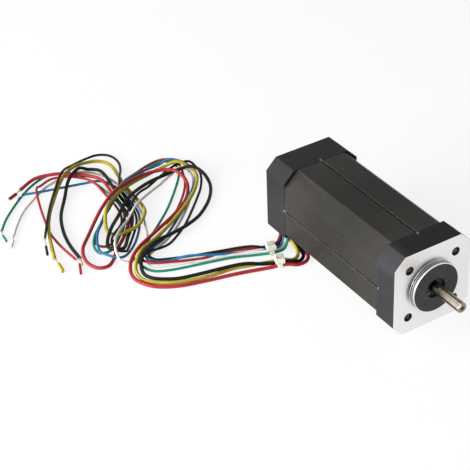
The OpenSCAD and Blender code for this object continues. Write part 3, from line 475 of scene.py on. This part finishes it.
def stack_coat():
    """Coated laminations: sheet lines, a coat paler toward both ends, a seam groove darkened as painted
    shade, and its edges on each side lighter as wear and as a painted highlight.
    """
    n = Net("stack_finish", Specular_IOR_Level=0.07)
    fine, broad = n.noise(0.5, detail=3), n.noise(BROAD_GRAIN, detail=4)
    x, off = n.axis(0), off_seam(n)
    # Painted shade in the seam groove; its edges are lighter as wear and as a painted highlight.
    groove = n.below(off, SEAM_HALF - 0.03, soft=0.04)
    wear_and_glint = n.times(n.above(off, SEAM_HALF - 0.05, soft=0.03), n.below(off, SEAM_HALF + 0.17, soft=0.08))
    ends = n.size(n.calc("ADD", x, -PALER_ENDS_MIDDLE * MM))
    ends = n.span(ends, (PALER_ENDS_FROM * MM, PALER_ENDS_FULL * MM), (0, 0.7))
    colour = n.mix(n.span(fine, (0.42, 0.75)), linear("#1f1e1c"), linear("#32302c"))
    colour = n.tint(n.times(ends, n.spread(broad, (0.4, 1))), colour, "#373431")
    colour = n.tint(n.times(wear_and_glint, n.span(fine, (0.35, 0.6), (0.1, 0.5))), colour, "#6f6b65")
    # Painted shade darkens the groove, and a painted sheen lightens flat angles.
    colour = painted_sheen(n, n.tint(groove, colour, "#0a0a0a"))
    relief = n.bump(fine, depth=0.02, strength=FLECK_STRENGTH)
    relief = n.bump(n.rings(x, SHEET_PITCH), depth=0.004, strength=0.5, normal=relief)
    return n.wear(Base_Color=colour, Roughness=n.spread(broad, (0.3, 0.45)), Normal=relief)


# Turned face: pitch of the fine lines; painted dark reflection rings by the pilot, where they lie and how
# far apart, mm
TURN_PITCH, THREAD_PITCH = 0.22, 0.8
MARK_UP, MARK_LEFT = 0.7, 0.71
MARK_FROM, MARK_TO, MARK_PITCH = 9.9, 14.2, 1.05
THREAD_TOP = -0.95


def painted_reflection_rings(n, x, r):
    """Painted reflection: dark rings round the pilot's wall and root, deepest toward its upper left."""
    aside = n.calc("SUBTRACT", n.times(n.axis(2), MARK_UP), n.times(n.axis(1), MARK_LEFT))
    aside = n.span(n.calc("DIVIDE", aside, r), (0.5, 0.88), (0.05, 1))
    along = n.calc("SUBTRACT", r, x)
    zone = n.times(n.above(along, MARK_FROM, soft=0.2), n.below(along, MARK_TO, soft=0.5))
    return n.times(aside, zone, n.span(n.rings(along, MARK_PITCH), (0.2, 0.7)))


def front_cast():
    """Coated bell with its mounting face, the pilot's wall and its edge turned bare; the countersinks keep
    the coat.
    """
    n = Net("front_bell_finish", Specular_IOR_Level=0.06)
    fine, broad = n.noise(FLECK_GRAIN, detail=3), n.noise(BROAD_GRAIN, detail=4)
    x, r = n.axis(0), n.radius()
    hole = n.radius(BOLT_OFF, BOLT_OFF, fold=True)
    ring = n.times(n.above(x, -0.06), n.above(r, PILOT_R - PILOT_EDGE - 0.03))
    # Painted shade: the countersinks are kept out of the bare metal, so the dark coat stands in for their
    # shade.
    bare = n.times(ring, n.above(hole, SINK_R - 0.02))
    boss = n.above(x, PILOT_LEN - PILOT_EDGE - ASIDE)
    wall = n.times(n.above(x, 0.1), n.without(boss))
    thread = n.times(n.below(x, THREAD_TOP), n.below(hole, TAP_R + ASIDE))
    turned = n.rings(r, TURN_PITCH)

    paint = n.mix(n.span(fine, FLECKS), linear("#161617"), linear("#242426"))
    # Painted light on the side toward the leads, and a painted highlight on its upper corner.
    paint = painted_side_light(n, paint, 0.4, 0.42)
    # Painted light: the pilot's face gets a lighter copy of the coat.
    painted_light_face = n.mix(n.span(fine, (0.4, 0.7)), linear("#373637"), linear("#4d4c4d"))
    paint = n.mix(boss, paint, painted_light_face)
    # Bare notches, lightened as bare metal and as a painted glint.
    paint = n.tint(bare_notch_and_glint(n, FRONT_JOINT, FRONT_JOINT + NOTCH_LEN), paint, "#84827e")
    crest = n.span(n.rings(x, THREAD_PITCH), NOISE_RANGE, (0.04, 0.9))
    paint = n.tint(n.times(thread, crest), paint, "#a9a7a5")

    metal = n.mix(n.span(n.noise(0.5, detail=4), (0.35, 0.65)), linear("#e8e6e6"), linear("#f4f2f2"))
    metal = n.tint(n.times(turned, 0.12), metal, "#c2c0c0")
    # Painted reflection: the pilot's wall is darkened, and dark rings lie over it and its root.
    metal = n.tint(n.times(wall, 0.75), metal, "#5c5b5b")
    metal = n.tint(painted_reflection_rings(n, x, r), metal, "#2c2c2d")

    rough = n.blend(bare, n.spread(broad, COAT_ROUGH), n.span(turned, (0, 1), (0.32, 0.4)))
    rough = n.blend(wall, rough, 0.58)
    relief = n.bump(n.blend(bare, fine, n.times(turned, 0.08)), FLECK_DEPTH, FLECK_STRENGTH)
    return n.wear(Base_Color=n.mix(bare, paint, metal), Metallic=bare, Roughness=rough, Normal=relief)


# Shaft, mm: the painted dark reflection lines along the flat's edges start this far out from the axis and
# this far aside of its middle
BORDER_OUT, BORDER_ASIDE = 1.72, 1.28
DRILL_X, INSIDE_X = 18.9, 3.2
# Noise drawn out round the shaft, and along it
RING, STREAK = (1, 0.02, 0.02), (0.012, 1, 1)


def shaft_steel():
    """Ground shaft: faint rings; long streaks and dark lines along the flat's edges painted as reflection;
    the centre drilling and the part inside the bell painted dark as shade.
    """
    n = Net("shaft_finish")
    x, y, z = n.axis(0), n.axis(1), n.axis(2)
    r = n.radius()
    ring, streak = n.noise(0.1, detail=2, stretch=RING), n.noise(0.3, detail=3, stretch=STREAK)
    # Painted reflection: long light and dark streaks along the shaft.
    colour = n.mix(n.span(streak, (0.38, 0.62)), linear("#4f4b42"), linear("#958e81"))
    colour = n.tint(n.span(n.noise(2.2, detail=3), (0.45, 0.7), (0, 0.35)), colour, "#4d473c")
    turn = math.radians(FLAT_TURN)
    c, s = math.cos(turn), math.sin(turn)
    out = n.calc("SUBTRACT", n.times(z, s), n.times(y, c))
    aside = n.size(n.calc("ADD", n.times(y, s), n.times(z, c)))
    # Painted reflection: dark lines along the flat's edges.
    flat_edge_reflection = n.times(n.above(out, BORDER_OUT), n.above(aside, BORDER_ASIDE, soft=0.05))
    flat_edge_reflection = n.times(flat_edge_reflection, n.above(x, FLAT_X, soft=0.1))
    colour = n.tint(n.times(flat_edge_reflection, 0.85), colour, "#2b2822")
    tip = n.times(n.above(x, SHAFT_OUT - TIP_EDGE - ASIDE), n.above(r, CENTRE_R + ASIDE))
    colour = n.tint(tip, colour, "#978e80")
    # Painted shade: the centre drilling is near black and not metallic.
    drill_shade = n.times(n.above(x, DRILL_X), n.below(r, CENTRE_R + 0.02, soft=0.03))
    colour = n.tint(drill_shade, colour, "#14120f")
    # Painted shade on the shaft where it stands inside the bell.
    colour = n.tint(n.below(x, INSIDE_X, soft=0.4), colour, "#2c2925")
    rough, relief = n.spread(streak, (0.26, 0.4)), n.bump(ring, depth=0.004, strength=0.5)
    return n.wear(Base_Color=colour, Metallic=n.without(drill_shade), Roughness=rough, Normal=relief)


# Darker patches of bare metal have this share of its tone
DARK_SHARE = 0.8


def ground_steel(name, tone, rough=(0.16, 0.28), turned=True):
    """Bare metal with fine lines, round the shaft axis where it was turned."""
    n = Net(name, Metallic=1.0)
    line = n.noise(0.12, detail=2, stretch=RING if turned else None)
    dark = tuple(c * DARK_SHARE for c in linear(tone)[:3]) + (1.0,)
    colour = n.mix(n.spread(n.noise(4, detail=3), (0, 0.6)), linear(tone), dark)
    relief = n.bump(line, depth=0.003, strength=0.35)
    return n.wear(Base_Color=colour, Roughness=n.spread(line, rough), Normal=relief)


def moulded(name, tone, other, rough=(0.35, 0.5), grain=0.6, depth=0.006, **fixed):
    """Moulded plastic, rubber or skin: faint mottling and a soft grain."""
    n = Net(name, **fixed)
    fine = n.noise(grain, detail=3)
    colour = n.mix(n.spread(n.noise(6, detail=3)), linear(tone), linear(other))
    relief = n.bump(fine, depth, strength=0.5)
    return n.wear(Base_Color=colour, Roughness=n.spread(fine, rough), Normal=relief)


# Pitch of the copper turns and of the board's tracks, mm
COPPER_PITCH, TRACK_PITCH = 0.42, 2.4


def enamelled(name, tone, dark):
    """Varnished copper turns: close parallel wires across each coil, darkened between the wires as painted
    shade.
    """
    n = Net(name, Metallic=0.85, Coat_Weight=0.5, Coat_Roughness=0.2)
    turn = n.rings(n.radius(), COPPER_PITCH)
    colour = n.mix(n.span(turn, (0, 0.6), (1, 0)), linear(tone), linear(dark))
    rough = n.spread(n.noise(3, detail=3), (0.28, 0.42))
    return n.wear(Base_Color=colour, Roughness=rough, Normal=n.bump(turn, depth=0.12, strength=0.8))


def board_mask():
    """Green board with faint tracks."""
    n = Net("board_finish", Coat_Weight=0.3)
    mesh = n.noise(0.5, detail=2)
    track = n.span(n.rings(n.axis(1), TRACK_PITCH), (0.72, 0.8), (0, 0.7))
    colour = n.mix(track, linear("#1d5a35"), linear("#2f7d4c"))
    relief = n.bump(mesh, depth=0.01, strength=0.4)
    return n.wear(Base_Color=colour, Roughness=n.spread(mesh, (0.35, 0.5)), Normal=relief)


FINISH = {
    "front_bell": front_cast(),
    "rear_bell": rear_cast(),
    "stator_core": stack_coat(),
    "cable_grommet": moulded("grommet_finish", "#161617", "#202021", (0.5, 0.7)),
    "tie_screws": ground_steel("screw_finish", "#a9abaf", (0.25, 0.4)),
    "lock_washers": ground_steel("washer_finish", "#8f9196", (0.3, 0.45)),
    "wave_washer": ground_steel("wave_finish", "#9b9da1", (0.25, 0.4)),
    "board_screws": ground_steel("board_screw_finish", "#c2c4c8", (0.2, 0.35)),
    "shaft": shaft_steel(),
    "rotor_core": ground_steel("rotor_finish", "#6a6c70", (0.4, 0.55)),
    "rotor_magnets": ground_steel("magnet_finish", "#7b7d82", (0.35, 0.5)),
    "rotor_sleeve": ground_steel("sleeve_finish", "#b4b7bb", (0.2, 0.32)),
    "balance_rings": ground_steel("ring_finish", "#c9a55a", (0.25, 0.4)),
    "front_insulator": moulded("insulator_finish", "#d8d2c0", "#e2dccb"),
    "terminal_strip": moulded("terminal_finish", "#e4dfd0", "#ece8db"),
    "hall_sensors": moulded("sensor_finish", "#151517", "#1f1f21"),
    "inner_leads": moulded("inner_lead_finish", "#b3322a", "#c0453a", (0.3, 0.45)),
    "phase_pins": ground_steel("pin_finish", "#c98a5b", (0.25, 0.4)),
    "sensor_board": board_mask(),
    "coils_u": enamelled("copper_finish", "#c06a35", "#4a2413"),
    # Painted shade: the bearing shields are near black, for the shade inside the bell's opening.
    "bearing_shields": moulded("shield_finish", "#0e0e0f", "#171718", (0.3, 0.45), 0.5, 0.004),
    # Painted shade: the front races are dark steel, for the shade inside the bell's opening; the rear races
    # keep bright steel.
    "front_outer_race": ground_steel("race_finish", "#2e2f31", (0.25, 0.4)),
    "rear_outer_race": ground_steel("rear_race_finish", "#b9bcc1", (0.14, 0.24)),
    "front_balls": ground_steel("ball_finish", "#d6d9dd", (0.06, 0.12)),
    "front_cage": ground_steel("cage_finish", "#b8955c", (0.25, 0.4)),
}
SAME = {
    "rear_insulator": "front_insulator",
    "coils_v": "coils_u",
    "coils_w": "coils_u",
    "front_inner_race": "front_outer_race",
    "rear_inner_race": "rear_outer_race",
    "rear_balls": "front_balls",
    "rear_cage": "front_cage",
}
for name, node in nodes.items():
    finish = FINISH.get(SAME.get(name, name))
    if finish:
        node.data.materials.clear()
        node.data.materials.append(finish)

# Lead skins
SKINS = {
    "phase_red": ("#8c2028", "#982a31"),
    "phase_yellow": ("#9a8a20", "#a6962c"),
    "phase_black": ("#080707", "#0e0d0d"),
    "hall_red": ("#8c2028", "#982a31"),
    "hall_black": ("#080707", "#0e0d0d"),
    "hall_blue": ("#235b80", "#2c668c"),
    "hall_green": ("#187460", "#1f806b"),
    "hall_white": ("#c8c1bc", "#d2cbc6"),
}
tinned = ground_steel("tinned_finish", "#c9bda6", (0.25, 0.4), turned=False)

# Stripped ends, mm: six fine wires twisted round a seventh, three across, with one turn in STRAND_LAY
PHASE_STRAND_D, HALL_STRAND_D = 0.9, 0.6
AROUND, ACROSS, STRAND_LAY, STRAND_STEPS = 6, 3, 5, 12
FINE_SIDES, SLUG_SIDES = 8, 20
# Slugs: shares of their length and of their radius, with both ends rounded
SLUG_SHARES = [(0, 0.86), (0.02, 0.97), (0.06, 1), (0.94, 1), (0.98, 0.97), (1, 0.86)]


def merge(parts):
    points, faces = [], []
    for p, f in parts:
        base = len(points)
        points += p
        faces += [tuple(i + base for i in face) for face in f]
    return points, faces


def strand(name, start, end, d):
    """Seven fine wires, twisted together."""
    along = end - start
    way = along.normalized()
    side = Vector((0, 0, 1)).cross(way).normalized()
    up = way.cross(side)
    fine = d / ACROSS / 2
    parts = []
    for k in range(AROUND + 1):
        out = 0 if k == AROUND else d / 2 - fine
        path = []
        for s in range(STRAND_STEPS + 1):
            t = s / STRAND_STEPS
            a = math.tau * (k / AROUND + t * along.length / (STRAND_LAY * MM))
            path.append(start + along * t + (math.cos(a) * side + math.sin(a) * up) * out)
        parts.append(tube(path, [fine] * len(path), FINE_SIDES))
    return mesh_object(name, *merge(parts), tinned)


for name, (lead, line, d) in leads.items():
    skin = moulded("skin_" + name, *SKINS[name], (0.36, 0.48), 1.2, 0.004, Specular_IOR_Level=0.14)
    lead.data.materials.append(skin)
    tips = [lifted(p, d) for p in TIPS[name]]
    strand_d = (PHASE_STRAND_D if d == PHASE_D else HALL_STRAND_D) * MM
    pieces = [strand("strand_" + name, tips[0], tips[1], strand_d)]
    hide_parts("strand_ends")
    if len(tips) > 2:
        along = tips[2] - tips[1]
        stops = [tips[1] + along * share for share, _ in SLUG_SHARES]
        sizes = [d / 2 * MM * share for _, share in SLUG_SHARES]
        slug = mesh_object("slug_" + name, *tube(stops, sizes, SLUG_SIDES), skin)
        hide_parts("phase_slugs" if d == PHASE_D else "hall_slugs")
        pieces.append(slug)
    for piece in pieces:
        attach(piece, "housing")


# Cable ties, mm: the strap goes round the row of leads, and its cut end stands in the slot of the head
STRAP_W, STRAP_T, STRAP_EDGE = 2.5, 0.5, 0.1
CORNER_R, CORNER_STEPS = 0.45, 6
HEAD_W, HEAD_LEN, HEAD_H, HEAD_EDGE = 5, 4.5, 3, 0.4
SLOT_W, SLOT_PLAY, SLOT_LIP, SLOT_MOUTH, SLOT_DEPTH = 1.6, 0.25, 0.1, 0.15, 1.2
END_SHIFT, END_SINK, END_RISE, END_RIBS, RIB_DEPTH = 0.25, 1.3, 0.35, 8, 0.09
CATCH_NEAR, CATCH_FAR, CATCH_SLOPE, CATCH_W, CATCH_SINK, CATCH_H = 0.1, 0.65, 0.15, 1.6, 0.25, 1
TIE_LIFT, TIE_PLAY, HEAD_SHIFT, HEAD_SINK = 0.55, 0.2, 1, 0.05
TIE_BEVEL, TIE_BEVEL_ANGLE = 0.07, 40
# Place of each tie on the surface, its turn in degrees, the width of its row and the leads' diameter
TIES = {
    "hall": ((-86.3, -28.7), -19, 7.6, HALL_D),
    "phase": ((-74.6, -31.5), -21, 5.8, PHASE_D),
}


def loop(half, z0, z1, out):
    """Rounded outline of the strap, at that distance outside its inner face."""
    ends = [(half - CORNER_R, z1 - CORNER_R, 0), (CORNER_R - half, z1 - CORNER_R, 90)]
    ends += [(CORNER_R - half, z0 + CORNER_R, 180), (half - CORNER_R, z0 + CORNER_R, 270)]
    line = []
    for x, z, first in ends:
        for k in range(CORNER_STEPS + 1):
            a = math.radians(first + 90 * k / CORNER_STEPS)
            line.append((x + (CORNER_R + out) * math.cos(a), z + (CORNER_R + out) * math.sin(a)))
    return line


def strap(half, z0, z1):
    """The closed band round a row of leads."""
    edge, w = STRAP_EDGE, STRAP_W / 2
    section = [(0, edge - w), (edge, -w), (STRAP_T - edge, -w), (STRAP_T, edge - w)]
    section += [(STRAP_T, w - edge), (STRAP_T - edge, w), (edge, w), (0, w - edge)]
    rows = [loop(half, z0, z1, out) for out, _ in section]
    around, sides = len(rows[0]), len(section)
    points = [(rows[j][i][0], section[j][1], rows[j][i][1]) for i in range(around) for j in range(sides)]
    faces = []
    for i in range(around):
        here, there = sides * i, sides * ((i + 1) % around)
        for j in range(sides):
            k = (j + 1) % sides
            faces.append((here + j, there + j, there + k, here + k))
    return points, faces


def ring_stack(sections):
    """A closed solid through rectangles (x0, x1, y0, y1, z), from the lowest to the highest."""
    points, faces = [], []
    for x0, x1, y0, y1, z in sections:
        points += [(x0, y0, z), (x1, y0, z), (x1, y1, z), (x0, y1, z)]
    for k in range(len(sections) - 1):
        for j in range(4):
            a, b = 4 * k + j, 4 * k + (j + 1) % 4
            faces.append((a, b, b + 4, a + 4))
    faces.append((3, 2, 1, 0))
    last = 4 * len(sections) - 4
    faces.append((last, last + 1, last + 2, last + 3))
    return points, faces


def head(z):
    """Head block with a slot sunk into its top."""
    x, y, top = HEAD_W / 2, HEAD_LEN / 2, z + HEAD_H
    sx, sy = SLOT_W / 2, STRAP_W / 2 + SLOT_PLAY
    rows = [(x - HEAD_EDGE, y - HEAD_EDGE, z), (x, y, z + HEAD_EDGE)]
    rows += [(x, y, top - HEAD_EDGE), (x - HEAD_EDGE, y - HEAD_EDGE, top), (sx, sy, top)]
    rows += [(sx - SLOT_LIP, sy - SLOT_LIP, top - deep) for deep in (SLOT_MOUTH, SLOT_DEPTH)]
    return ring_stack([(HEAD_SHIFT - a, HEAD_SHIFT + a, -b, b, h) for a, b, h in rows])


def cut_end(z):
    """Ribbed end of the strap, cut off just above the head; its middle is set back from the catch."""
    foot, top = z + HEAD_H - END_SINK, z + HEAD_H + END_RISE
    w, middle = STRAP_W / 2, HEAD_SHIFT - END_SHIFT
    rows = []
    for k in range(END_RIBS + 1):
        t = STRAP_T / 2 if k % 2 else STRAP_T / 2 - RIB_DEPTH
        rows.append((middle - t, middle + t, -w, w, foot + (top - foot) * k / END_RIBS))
    return ring_stack(rows)


def catch(z):
    """The catch that holds the strap, seen beside it in the slot."""
    near, far, w = HEAD_SHIFT + CATCH_NEAR, HEAD_SHIFT + CATCH_FAR, CATCH_W / 2
    top = z + HEAD_H - CATCH_SINK
    return ring_stack([(near, far, -w, w, top - CATCH_H), (near + CATCH_SLOPE, far, -w, w, top)])


def bevel(obj, width, angle):
    edge = obj.modifiers.new("edge", "BEVEL")
    edge.width = width * MM
    edge.segments = 2
    edge.limit_method = "ANGLE"
    edge.angle_limit = math.radians(angle)
    return edge


def tie(name, place, turn, row_w, d):
    z0 = FLOOR_Z + TIE_LIFT
    z1 = z0 + d + TIE_PLAY
    z = z1 + STRAP_T - HEAD_SINK
    points, faces = merge([strap(row_w / 2, z0, z1), head(z), cut_end(z), catch(z)])
    spin = Matrix.Rotation(math.radians(turn), 3, "Z")
    base = Vector((*place, 0))
    points = [(spin @ Vector(q) + base) * MM for q in points]
    obj = mesh_object("tie_" + name, points, faces, NYLON, False)
    bevel(obj, TIE_BEVEL, TIE_BEVEL_ANGLE)
    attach(obj, "housing")
    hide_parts("cable_tie_" + name)


NYLON = moulded("tie_finish", "#c6c2b6", "#d4d0c5", (0.3, 0.45), 0.7, 0.02, Subsurface_Weight=0.1)
for name, facts in TIES.items():
    tie(name, *facts)

# Softened edges on the housing, mm
EDGE_WIDTHS = {"front_bell": 0.18, "rear_bell": 0.22, "stator_core": 0.25}
EDGE_ANGLE = 35
WELD_REACH = 1e-6
for name, width in EDGE_WIDTHS.items():
    weld = nodes[name].modifiers.new("weld", "WELD")
    weld.merge_threshold = WELD_REACH
    bevel(nodes[name], width, EDGE_ANGLE).harden_normals = True


# Floor, backdrop and light, in metres and watts
FLOOR_HALF, FLOOR_GAP = 6.0, 0.00002
FLOOR_GLOW, SKY = 0.8, 0.25
LAMPS = {
    "key": ((-0.75, -0.75, 0.6), (-0.06, 0, 0), (0.8, 0.8), 7.5),
    "side": ((-0.1, -1.15, 0.25), (-0.06, 0, 0), (0.9, 0.4), 28),
    "top": ((0.05, 0.1, 0.95), (-0.08, -0.04, 0), (0.8, 0.8), 0.3),
    "fill": ((0.8, -0.6, 0.5), (0, 0, 0), (0.6, 0.6), 4.5),
}


def floor():
    z = FLOOR_Z * MM - FLOOR_GAP
    net = Net("floor_finish", Roughness=0.9, Specular_IOR_Level=0.1)
    net.wear(Base_Color=net.mix(net.spread(net.noise(2, detail=2)), linear("#f2f2f2"), linear("#f6f6f6")))
    glow = net.node("ShaderNodeEmission")
    glow.inputs["Color"].default_value = (1, 1, 1, 1)
    path = net.node("ShaderNodeLightPath")
    seen = net.calc("MAXIMUM", path.outputs["Is Camera Ray"], path.outputs["Is Glossy Ray"])
    seen = net.calc("MAXIMUM", seen, path.outputs["Is Transmission Ray"])
    blend = net.node("ShaderNodeMixShader")
    net.put(blend.inputs[0], net.times(seen, FLOOR_GLOW))
    net.put(blend.inputs[1], net.shader.outputs[0])
    net.put(blend.inputs[2], glow.outputs[0])
    net.put(net.tree.nodes["Material Output"].inputs["Surface"], blend.outputs[0])
    a = FLOOR_HALF
    plane = mesh_object(
        "studio_floor", [(-a, -a, z), (a, -a, z), (a, a, z), (-a, a, z)], [(0, 1, 2, 3)], net.mat, False
    )


def sky(strength):
    """An even pale surround, seen as white and lighting at that strength."""
    world = bpy.data.worlds.new("studio_world")
    scene.world = world
    world.use_nodes = True
    tree = world.node_tree
    back = tree.nodes["Background"]
    path = tree.nodes.new("ShaderNodeLightPath")
    seen = path.outputs["Is Camera Ray"]
    for kind in ("Is Glossy Ray", "Is Transmission Ray"):
        most = tree.nodes.new("ShaderNodeMath")
        most.operation = "MAXIMUM"
        tree.links.new(seen, most.inputs[0])
        tree.links.new(path.outputs[kind], most.inputs[1])
        seen = most.outputs[0]
    level = tree.nodes.new("ShaderNodeMix")
    level.data_type = "FLOAT"
    tree.links.new(seen, level.inputs[0])
    level.inputs[2].default_value = strength
    level.inputs[3].default_value = 1.0
    back.inputs["Color"].default_value = (1, 1, 1, 1)
    tree.links.new(level.outputs[0], back.inputs["Strength"])


def lamp(name, place, aim, size, power):
    data = bpy.data.lights.new(name, "AREA")
    data.shape = "RECTANGLE"
    data.size, data.size_y = size
    data.energy = power
    obj = bpy.data.objects.new(name, data)
    obj.location = place
    obj.rotation_euler = (Vector(aim) - Vector(place)).to_track_quat("-Z", "Y").to_euler()
    scene.collection.objects.link(obj)


floor()
sky(SKY)
for name, facts in LAMPS.items():
    lamp(name, *facts)
scene.view_settings.view_transform = "Standard"
